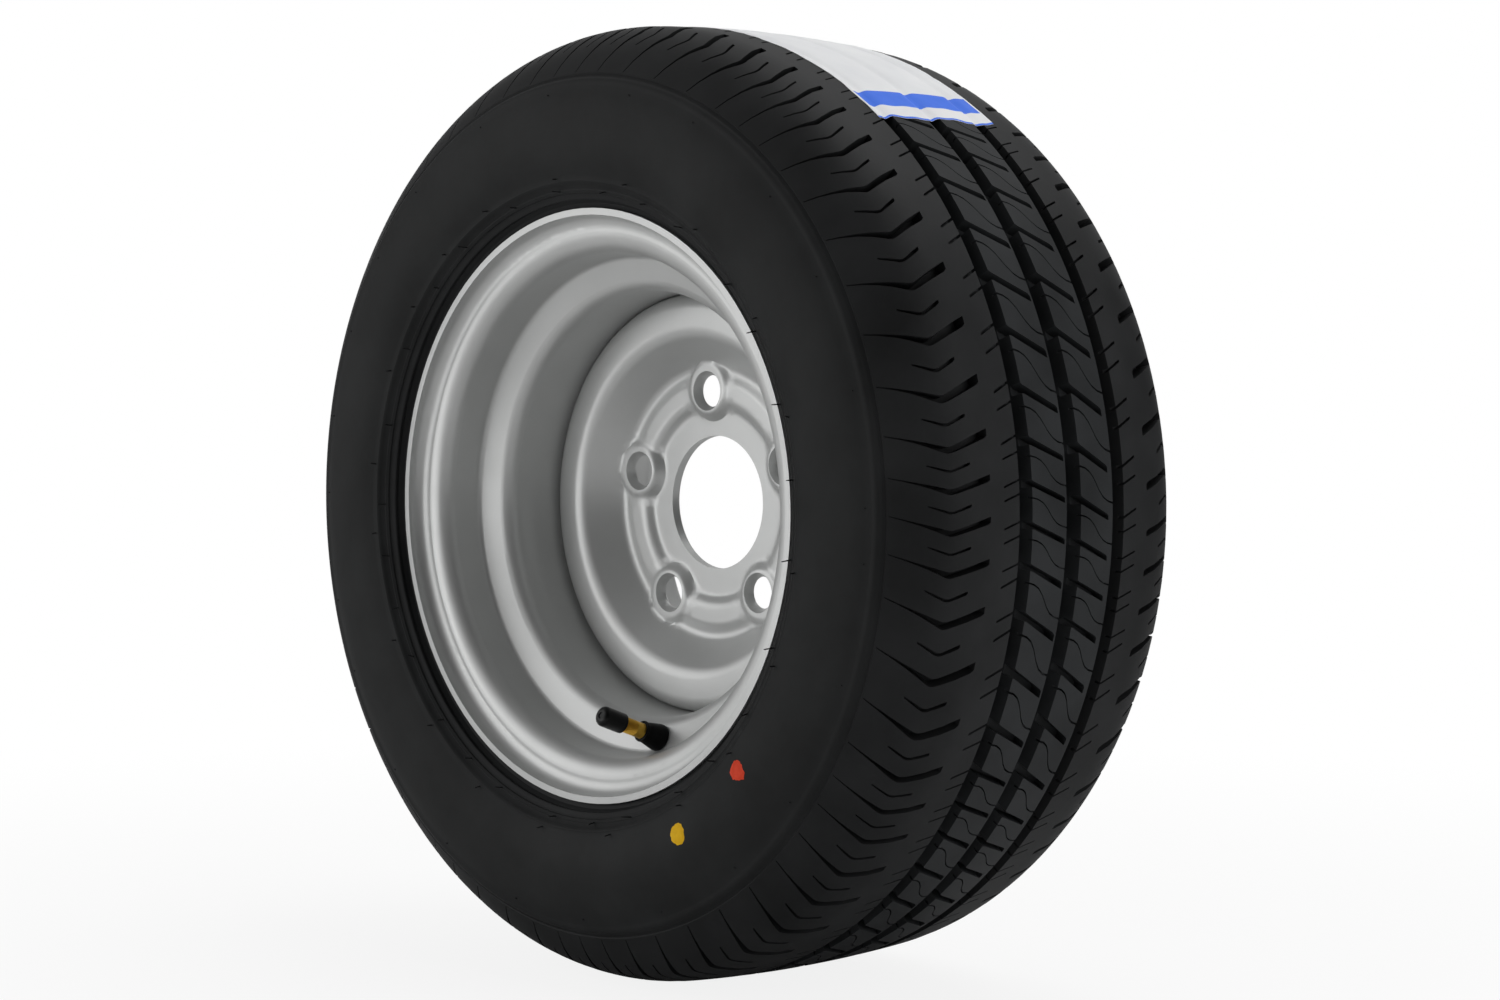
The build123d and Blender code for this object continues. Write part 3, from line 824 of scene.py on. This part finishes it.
def disc_front(x, z):
    """The front face with the bolt bosses pressed up from it, edges run softly together."""
    height, _ = disc_height(math.hypot(x, z))
    reach = BOLT_RADIUS + BOSS_OFFSET
    for angle in BOLT_ANGLES:
        away = math.hypot(x - reach * math.cos(angle), z - reach * math.sin(angle))
        share = clamp((away - BOSS_TOP_REACH) / (BOSS_FOOT_REACH - BOSS_TOP_REACH))
        boss = BOSS_FRONT + (BOSS_ROOT - BOSS_FRONT) * share * share * (3.0 - 2.0 * share)
        mix = clamp(0.5 + 0.5 * (height - boss) / BOSS_BLEND)
        height += (boss - height) * mix - BOSS_BLEND * mix * (1.0 - mix)
    return height


def disc_back(x, z):
    """The back face: a sheet's thickness behind the plain front, and level round the bolt holes."""
    height, slope = disc_height(math.hypot(x, z))
    height += DISC_SHEET * math.hypot(1.0, slope)
    away = min(math.dist((x, z), hole) for hole in BOLT_HOLES)
    level = clamp((BOSS_FOOT_REACH - away) / (BOSS_FOOT_REACH - SEAT_MOUTH))
    return height - level * max(0.0, height - HOLE_BACK)


def circle(middle, radius, count):
    turns = [FULL_TURN * k / count for k in range(count)]
    return [(middle[0] + radius * math.cos(a), middle[1] + radius * math.sin(a)) for a in turns]


def disc_plan():
    """Flat triangles of the disc's middle, and its loops: outer edge, bore and five seat mouths."""
    loops = [circle((0, 0), DISC_MIDDLE, DISC_SEGMENTS), circle((0, 0), DISC_BORE, BORE_SEGMENTS)]
    loops += [circle(hole, SEAT_MOUTH, HOLE_SEGMENTS) for hole in BOLT_HOLES]
    points = [spot for loop in loops for spot in loop]
    for hole in BOLT_HOLES:
        for radius in BOSS_RINGS:
            points += circle(hole, radius, HOLE_SEGMENTS)
    radius = DISC_BORE + BORE_MARGIN
    while radius < DISC_MIDDLE - MIDDLE_MARGIN:
        for spot in circle((0, 0), radius, DISC_SEGMENTS):
            if min(math.dist(spot, hole) for hole in BOLT_HOLES) > BOSS_CLEAR:
                points.append(spot)
        radius += BEND_STEP if any(low < radius < high for low, high in BEND_ZONES) else PLAIN_STEP
    runs = numbered(loops)
    flat, faces = triangulated(points, runs)
    return flat, [tuple(face) for face, origin in faces if origin == [0]], runs


def make_disc(material):
    """Pressed disc: a flat middle with bosses and conical bolt seats, a deep crown and a skirt."""
    skin = Skin()
    flat, faces, loops = disc_plan()
    outer_loop, bore_loop, *seat_loops = loops
    front = [skin.point(x, disc_front(x, z), z) for x, z in flat]
    seat_of = {index: hole for hole, loop in zip(BOLT_HOLES, seat_loops) for index in loop}
    back = []
    for index, (x, z) in enumerate(flat):
        if index in seat_of:
            hole = seat_of[index]
            x = hole[0] + (x - hole[0]) * HOLE_RADIUS / SEAT_MOUTH
            z = hole[1] + (z - hole[1]) * HOLE_RADIUS / SEAT_MOUTH
        back.append(skin.point(x, disc_back(x, z), z))
    for a, b, c in faces:
        skin.faces.append((front[a], front[b], front[c]))
        skin.faces.append((back[c], back[b], back[a]))
    skin.strip([front[i] for i in bore_loop], [back[i] for i in bore_loop])
    for hole, loop in zip(BOLT_HOLES, seat_loops):
        foot = [skin.point(x, BOSS_FRONT + SEAT_DEPTH, z) for x, z in circle(hole, HOLE_RADIUS, len(loop))]
        skin.strip([front[i] for i in loop], foot)
        skin.strip(foot, [back[i] for i in loop])
    outer = [point for point in DISC_LINE if point.x > DISC_MIDDLE + CROWN_MARGIN]
    inner = []
    for before, point, after in zip(outer, outer[1:], outer[2:] + [outer[-1]]):
        along = (after - before).normalized()
        inner.append(point + DISC_SHEET * Vector((-along.y, along.x)))
    rings = skin.lathe([(point.y, point.x) for point in outer + inner[::-1]], DISC_SEGMENTS)
    skin.strip([front[i] for i in outer_loop], rings[0])
    skin.strip([back[i] for i in outer_loop], rings[-1])
    piece = skin.build("disc_mesh", "wheel", material)
    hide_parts("disc")


def waves(place, terms):
    """Sum of sines along a line, each with its height, length and phase."""
    return sum(height * math.sin(place / length + phase) for height, length, phase in terms)


def label_creases():
    """Phase, rate along the label and lean across it of each of the paper's faint creases."""
    chance = random.Random(LABEL_SEED)
    creases = []
    for _ in range(CREASES):
        phase = chance.uniform(*CREASE_PHASE)
        rate = chance.uniform(*CREASE_RATE)
        lean = chance.uniform(*CREASE_LEAN)
        creases.append((phase, rate, lean))
    return creases


def label_lift(v, s, creases):
    """Height of the paper over the tread's section: it dips over the grooves and is creased."""
    grooves = (-GROOVE_MIDDLE, 0.0, GROOVE_MIDDLE)
    dip = sum(math.exp(-(((s - groove) / LABEL_DIP_WIDTH) ** 2)) for groove in grooves)
    crease = sum(math.sin(v * rate + s * lean + phase) for phase, rate, lean in creases)
    return CREASE_HEIGHT * crease - LABEL_DIP * dip


def label_layer(skin, rows, base, creases):
    """One side of the paper, as rows of points."""
    layer = []
    for v in rows:
        near = LABEL_NEAR + waves(v, LABEL_NEAR_WAVES)
        far = LABEL_FAR + waves(v, LABEL_FAR_WAVES)
        skew = LABEL_SKEW * min(1.0, (LABEL_LENGTH - v) / LABEL_SKEW_FADE)
        torn = max(0.0, 1.0 - v / LABEL_TORN_REACH)
        row = []
        for k in range(LABEL_COLUMNS + 1):
            s = near + (far - near) * k / LABEL_COLUMNS
            along = v + torn * waves(s, LABEL_TORN_WAVES) + skew * (s - near)
            across, radius = section(s, base + label_lift(v, s, creases))
            row.append(skin.ring_point(across, radius, LABEL_START + along / TYRE_RADIUS))
        layer.append(row)
    return layer


def make_label(paper, ink):
    """Paper label laid over the tread, with a blue line and a blue band at its torn near end."""
    skin = Skin()
    creases = label_creases()
    start = LABEL_BORDER[-1]
    steps = range(1, LABEL_STEPS + 1)
    rows = LABEL_BORDER + [start + (LABEL_LENGTH - start) * k / LABEL_STEPS for k in steps]
    top = label_layer(skin, rows, LABEL_TOP, creases)
    under = label_layer(skin, rows, LABEL_UNDER, creases)
    last_row = len(rows) - 1
    last = LABEL_COLUMNS
    inked = []
    for layer in (top, under):
        for n in range(last_row):
            for k in range(last):
                skin.faces.append((layer[n][k], layer[n][k + 1], layer[n + 1][k + 1], layer[n + 1][k]))
                white_edge = n > 0 and k in (0, last - 1)
                inked.append(layer is top and n in LABEL_BLUE_ROWS and not white_edge)
    rim = [(n, 0) for n in range(last_row)] + [(last_row, k) for k in range(last)]
    rim += [(n, last) for n in range(last_row, 0, -1)] + [(0, k) for k in range(last, 0, -1)]
    skin.strip([top[n][k] for n, k in rim], [under[n][k] for n, k in rim])
    inked += [False] * len(rim)
    piece = skin.build("label_sheet", "wheel", paper, sharp=60.0)
    piece.data.materials.append(ink)
    for polygon, blue in zip(piece.data.polygons, inked):
        polygon.material_index = 1 if blue else 0
    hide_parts("tread_label")


def daub(radius, rough, tail, seed):
    """Uneven outline of a daub of paint, as (angle, radius), drawn out to one side."""
    chance = random.Random(seed)
    outline = []
    for k in range(DAUB_POINTS):
        angle = FULL_TURN * k / DAUB_POINTS
        reach = radius * (1.0 + chance.uniform(-rough, rough))
        reach *= 1.0 + tail * max(0.0, math.cos(angle - DAUB_TAIL_ANGLE)) ** DAUB_TAIL_POWER
        outline.append((angle, reach))
    return outline


def make_paint_mark(name, material, middle, degrees, radius, rough, tail, seed):
    """Daub of paint on the near sidewall, its middle at an arc length and an angle."""
    skin = Skin()
    outline = daub(radius, rough, tail, seed)
    turned = math.radians(degrees)
    rings = []
    for share, lift in DAUB_SECTION:
        ring = []
        for angle, reach in outline if share else outline[:1]:
            across, distance = section(middle + share * reach * math.cos(angle), lift - SIDEWALL_SINK)
            swing = share * reach * math.sin(angle) / distance
            ring.append(skin.ring_point(across, distance, turned + swing))
        rings.append(ring)
    first = rings[1]
    for k in range(len(first)):
        skin.faces.append((rings[0][0], first[k], first[(k + 1) % len(first)]))
    for low, high in zip(rings[1:], rings[2:]):
        skin.strip(high, low)
    skin.build(name, "wheel", material)


def add_hair(skin, side, foot, turned, length, lean_out, lean_round):
    """One hair from its foot (across, radius): three rings of points, closed at both ends."""
    rings = []
    for height, thick in zip((HAIR_ROOT, 0.5 * length, length), HAIR_RADII):
        lift = max(0.0, height)
        ring = []
        for k in range(HAIR_SIDES):
            angle = FULL_TURN * k / HAIR_SIDES
            distance = foot[1] + lean_out * lift + thick * math.cos(angle)
            swing = (lean_round * lift + thick * math.sin(angle)) / foot[1]
            ring.append(skin.ring_point(side * (foot[0] + height), distance, turned + swing))
        rings.append(ring)
    for low, high in zip(rings, rings[1:]):
        skin.strip(low, high)
    skin.faces.append(tuple(rings[0]))
    skin.faces.append(tuple(rings[-1]))


def make_vent_hairs(material):
    """Thin rubber hairs left by the mould's vents, standing out from both sidewalls."""
    skin = Skin()
    chance = random.Random(VENT_SEED)
    for side in (-1, 1):
        for inset, spacing, shortest, longest in VENT_ROWS:
            foot = section(SECTION_END - inset)
            degrees = chance.uniform(0.0, spacing)
            while degrees < 360.0:
                length = chance.uniform(shortest, longest)
                lean_out = HAIR_LEAN * chance.uniform(-1.0, 1.0)
                lean_round = HAIR_LEAN * chance.uniform(-1.0, 1.0)
                add_hair(skin, side, foot, math.radians(degrees), length, lean_out, lean_round)
                degrees += spacing * chance.uniform(*VENT_SPACING)
    skin.build("vent_hairs", "wheel", material)


def make_turned(name, node, body, material, profile):
    """Piece turned about the valve's axis, from (radius, height) points round its half section."""
    skin = Skin()
    side = VALVE_OUT.orthogonal().normalized()
    other = VALVE_OUT.cross(side)
    rings = []
    for radius, height in profile:
        middle = VALVE_FOOT + VALVE_OUT * height
        ring = []
        for k in range(VALVE_SEGMENTS if radius else 1):
            angle = FULL_TURN * k / VALVE_SEGMENTS
            ring.append(skin.point(*(middle + radius * (math.cos(angle) * side + math.sin(angle) * other))))
        rings.append(ring)
    pairs = list(zip(rings, rings[1:]))
    if len(rings[0]) > 1:
        pairs.append((rings[-1], rings[0]))
    for low, high in pairs:
        for k in range(VALVE_SEGMENTS):
            n = (k + 1) % VALVE_SEGMENTS
            corners = (low[k % len(low)], low[n % len(low)], high[n % len(high)], high[k % len(high)])
            skin.faces.append(tuple(dict.fromkeys(corners)))
    piece = skin.build(name, body, material)
    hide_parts(node)


def stem_section():
    """Half section of the stem: shank, thread as a row of rings, and the bore for the core."""
    stem = list(STEM_SHANK)
    height = THREAD_START
    while height + THREAD_PITCH < STEM_TOP:
        stem += [(radius, height + rise) for radius, rise in THREAD_FORM]
        height += THREAD_PITCH
    return stem + STEM_END


def make_spring(material):
    """Closing spring of the core, a copy of its solid with a mesh of its own; in the valve it shortens
    towards its foot by the travel of the pin.
    """
    solid = bpy.data.objects["core_spring"]
    coil = new_object("spring_coil", solid.data.copy())
    coil.matrix_world = solid.matrix_world
    give_finish(coil, material)
    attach(coil, "wheel")
    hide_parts("core_spring")
    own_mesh(coil)


def feed(tree, node, inputs):
    """Sets a node's inputs, each to a value or from another node's output."""
    for key, value in inputs.items():
        if isinstance(value, bpy.types.NodeSocket):
            tree.links.new(value, node.inputs[key])
        else:
            node.inputs[key].default_value = value


def add_node(tree, kind, inputs, operation=None):
    node = tree.nodes.new("ShaderNode" + kind)
    if operation:
        node.operation = operation
    feed(tree, node, inputs)
    return node


def coordinates(tree, kind):
    return add_node(tree, "TexCoord", {}).outputs[kind]


def joined(tree, operation, one, two):
    """Result of an operation on two values."""
    return add_node(tree, "Math", {0: one, 1: two}, operation).outputs["Value"]


def spread(tree, value, before, after, smooth=False):
    """A value taken from one range to another."""
    node = tree.nodes.new("ShaderNodeMapRange")
    if smooth:
        node.interpolation_type = "SMOOTHSTEP"
    ends = {"From Min": before[0], "From Max": before[1], "To Min": after[0], "To Max": after[1]}
    feed(tree, node, {"Value": value, **ends})
    return node.outputs["Result"]


def noise(tree, scale, detail):
    """Noise over the object's own coordinates."""
    inputs = {"Vector": coordinates(tree, "Object"), "Scale": scale, "Detail": detail}
    return add_node(tree, "TexNoise", inputs).outputs["Fac"]


def speckle(tree, scale, detail, low, high):
    """Noise whose middle part is spread between two values."""
    return spread(tree, noise(tree, scale, detail), NOISE_MIDDLE, (low, high))


def blend(tree, factor, one, two):
    """Colour between two others."""
    mix = tree.nodes.new("ShaderNodeMix")
    mix.data_type = "RGBA"
    feed(tree, mix, {"A": (*one, 1.0), "B": (*two, 1.0), "Factor": factor})
    return mix.outputs["Result"]


def shader(name):
    """New material, with its node tree and main shader."""
    material = bpy.data.materials.new(name)
    material.use_nodes = True
    return material, material.node_tree, material.node_tree.nodes["Principled BSDF"]


def plain_material(name, one, two, rough, metal=0.0, scale=60.0, shine=0.5):
    """Paint, rubber or metal with a little unevenness in colour and roughness."""
    material, tree, base = shader(name)
    tint = speckle(tree, scale=scale, detail=5.0, low=0.0, high=1.0)
    sheen = speckle(tree, scale=0.4 * scale, detail=3.0, low=rough[0], high=rough[1])
    colour = blend(tree, tint, one, two)
    feed(tree, base, {"Base Color": colour, "Roughness": sheen})
    feed(tree, base, {"Metallic": metal, "Specular IOR Level": shine})
    return material


def tyre_material():
    """Moulded rubber: middle ribs painted lighter and shoulders darker as painted light on the tread, with
    random dust and satin sidewalls.
    """
    material, tree, base = shader("tyre_rubber")
    axes = add_node(tree, "SeparateXYZ", {"Vector": coordinates(tree, "Object")})
    across = add_node(tree, "Math", {0: axes.outputs["Y"]}, "ABSOLUTE").outputs["Value"]
    # Painted light: the ramp across the tyre makes the middle ribs lighter and the shoulders darker,
    # standing in for the light that falls on the tread
    painted_light_zones = add_node(tree, "ValToRGB", {"Fac": across})
    elements = painted_light_zones.color_ramp.elements
    first, *between, last = RUBBER_PAINTED_LIGHT_ZONES
    for element, (distance, colour) in zip(elements, (first, last)):
        element.position = distance
        element.color = (*colour, 1.0)
    for distance, colour in between:
        elements.new(distance).color = (*colour, 1.0)
    dust = speckle(tree, scale=28.0, detail=6.0, low=0.75, high=1.3)
    # Random dust tone, multiplied into the painted light of the ramp
    dust_and_painted_light = add_node(tree, "VectorMath", {0: painted_light_zones.outputs["Color"], "Scale": dust}, "SCALE")
    sheen = speckle(tree, scale=14.0, detail=3.0, low=0.5, high=0.62)
    grain = noise(tree, scale=700.0, detail=4.0)
    bump = add_node(tree, "Bump", {"Strength": 0.1, "Distance": 0.0004, "Height": grain})
    feed(tree, base, {"Base Color": dust_and_painted_light.outputs["Vector"], "Roughness": sheen})
    feed(tree, base, {"Specular IOR Level": 0.11, "Normal": bump.outputs["Normal"]})
    return material


def make_floor():
    """White floor under the tyre, shown to the camera as plain white away from the wheel's shadow."""
    low = cad_box[0][2]
    corners = [(-1, -1), (1, -1), (1, 1), (-1, 1)]
    mesh = bpy.data.meshes.new("floor")
    mesh.from_pydata([(x * FLOOR_REACH, y * FLOOR_REACH, low) for x, y in corners], [], [(0, 1, 2, 3)])
    floor = new_object("floor", mesh)
    paint = bpy.data.materials.new("floor_paint")
    paint.use_nodes = True
    tree = paint.node_tree
    tree.nodes.clear()
    camera_ray = add_node(tree, "LightPath", {}).outputs["Is Camera Ray"]
    shade = spread(tree, camera_ray, (0.0, 1.0), FLOOR_SHADES)
    matt = add_node(tree, "BsdfDiffuse", {"Color": shade}).outputs["BSDF"]
    glow = add_node(tree, "Emission", {"Strength": 1.0}).outputs["Emission"]
    away = add_node(tree, "VectorMath", {0: coordinates(tree, "Object")}, "LENGTH").outputs["Value"]
    fade = spread(tree, away, FLOOR_FADE, FLOOR_GLOW, smooth=True)
    share = joined(tree, "MULTIPLY", camera_ray, fade)
    mixed = add_node(tree, "MixShader", {"Fac": share, 1: matt, 2: glow})
    add_node(tree, "OutputMaterial", {"Surface": mixed.outputs["Shader"]})
    mesh.materials.append(paint)


def light_patch(tree, direction, start, full, strength):
    """Soft patch of light in the surroundings, round one direction."""
    sides = {0: coordinates(tree, "Generated"), 1: Vector(direction).normalized()}
    facing = add_node(tree, "VectorMath", sides, "DOT_PRODUCT").outputs["Value"]
    return spread(tree, facing, (start, full), (0.0, strength), smooth=True)


def make_world():
    """Surroundings: white to the camera, and to the wheel dim with patches of light."""
    world = bpy.data.worlds.new("studio")
    bpy.context.scene.world = world
    world.use_nodes = True
    tree = world.node_tree
    tree.nodes.clear()
    ray = add_node(tree, "LightPath", {}).outputs
    level = joined(tree, "MULTIPLY", light_patch(tree, *BEHIND_PATCH), ray["Is Glossy Ray"])
    for light in (light_patch(tree, *LEFT_PATCH), light_patch(tree, *TOP_PATCH), LEAST_LIGHT):
        level = joined(tree, "MAXIMUM", level, light)
    seen = joined(tree, "MAXIMUM", ray["Is Camera Ray"], ray["Is Transmission Ray"])
    mixed = add_node(tree, "MixShader", {"Fac": seen})
    for place, strength in ((1, level), (2, 1.0)):
        glow = add_node(tree, "Background", {"Color": WHITE, "Strength": strength})
        tree.links.new(glow.outputs["Background"], mixed.inputs[place])
    add_node(tree, "OutputWorld", {"Surface": mixed.outputs["Shader"]})


def make_lamp(name, place, aim, size, power):
    light = bpy.data.lights.new(name, "AREA")
    light.shape = "RECTANGLE"
    light.size, light.size_y = size
    light.energy = power
    holder = new_object(name, light)
    holder.location = place
    holder.rotation_euler = (Vector(aim) - Vector(place)).to_track_quat("-Z", "Y").to_euler()


def make_camera():
    """Camera that looks at the wheel from where the photograph was taken."""
    lens = bpy.data.cameras.new("camera")
    lens.sensor_width = CAMERA_SENSOR
    lens.lens = CAMERA_LENS
    lens.shift_x, lens.shift_y = CAMERA_SHIFT
    camera = new_object("camera", lens)
    level = CAMERA_DISTANCE * math.cos(CAMERA_HEIGHT)
    camera.location = (
        level * math.sin(CAMERA_AZIMUTH),
        -level * math.cos(CAMERA_AZIMUTH),
        CAMERA_DISTANCE * math.sin(CAMERA_HEIGHT),
    )
    camera.rotation_euler = (math.pi / 2 - CAMERA_HEIGHT, 0.0, CAMERA_AZIMUTH)
    bpy.context.scene.camera = camera


# Materials: two colours to vary between, least and most roughness
rubber = tyre_material()
silver = plain_material(
    "silver_paint", (0.53, 0.537, 0.532), (0.57, 0.577, 0.572), (0.36, 0.42), metal=0.5, scale=25.0
)
black_rubber = plain_material(
    "black_rubber", (0.004, 0.004, 0.0042), (0.007, 0.007, 0.0072), (0.4, 0.55), shine=0.08
)
brass = plain_material("brass", (0.68, 0.4, 0.055), (0.78, 0.48, 0.08), (0.25, 0.4), metal=1.0, scale=300.0)
seal = plain_material("seal_plastic", (0.6, 0.1, 0.08), (0.7, 0.13, 0.1), (0.45, 0.6))
steel = plain_material("spring_steel", (0.5, 0.5, 0.5), (0.58, 0.58, 0.58), (0.25, 0.35), metal=1.0)
plastic = plain_material(
    "black_plastic", (0.004, 0.004, 0.004), (0.007, 0.007, 0.007), (0.26, 0.36), shine=0.2
)
paper = plain_material(
    "label_paper", (0.88, 0.89, 0.91), (0.95, 0.96, 0.97), (0.5, 0.65), scale=40.0, shine=0.3
)
label_ink = plain_material(
    "label_ink", (0.04, 0.18, 0.9), (0.06, 0.21, 0.98), (0.45, 0.6), scale=80.0, shine=0.2
)
yellow_paint = plain_material(
    "yellow_paint", (0.72, 0.4, 0.008), (0.84, 0.5, 0.015), (0.5, 0.65), scale=250.0, shine=0.1
)
red_paint = plain_material(
    "red_paint", (0.62, 0.045, 0.015), (0.74, 0.07, 0.03), (0.5, 0.65), scale=250.0, shine=0.1
)

# Finishes of the CAD solids that show as they are
FINISHES = (
    (silver, ("rim", "disc_welds")),
    (brass, ("core_plug", "core_barrel", "core_pin", "core_cup")),
    (seal, ("barrel_gasket",)),
    (black_rubber, ("cup_seal", "cap_seal")),
)
for material, nodes in FINISHES:
    for node in nodes:
        give_finish(bpy.data.objects[node], material)

# Pieces
make_tyre(rubber)
make_disc(silver)
make_label(paper, label_ink)
make_vent_hairs(rubber)
make_turned("valve_body", "valve_rubber", "wheel", black_rubber, VALVE_BODY)
make_turned("stem_thread", "valve_stem", "wheel", brass, stem_section())
make_turned("cap_shell", "valve_cap", "cap", plastic, CAP_SHELL)
make_spring(steel)
make_paint_mark("yellow_mark", yellow_paint, *YELLOW_MARK)
make_paint_mark("red_mark", red_paint, *RED_MARK)

# Floor, light and camera
make_floor()
make_world()
for row in LAMPS:
    make_lamp(*row)
make_camera()
bpy.context.scene.view_settings.view_transform = "Standard"
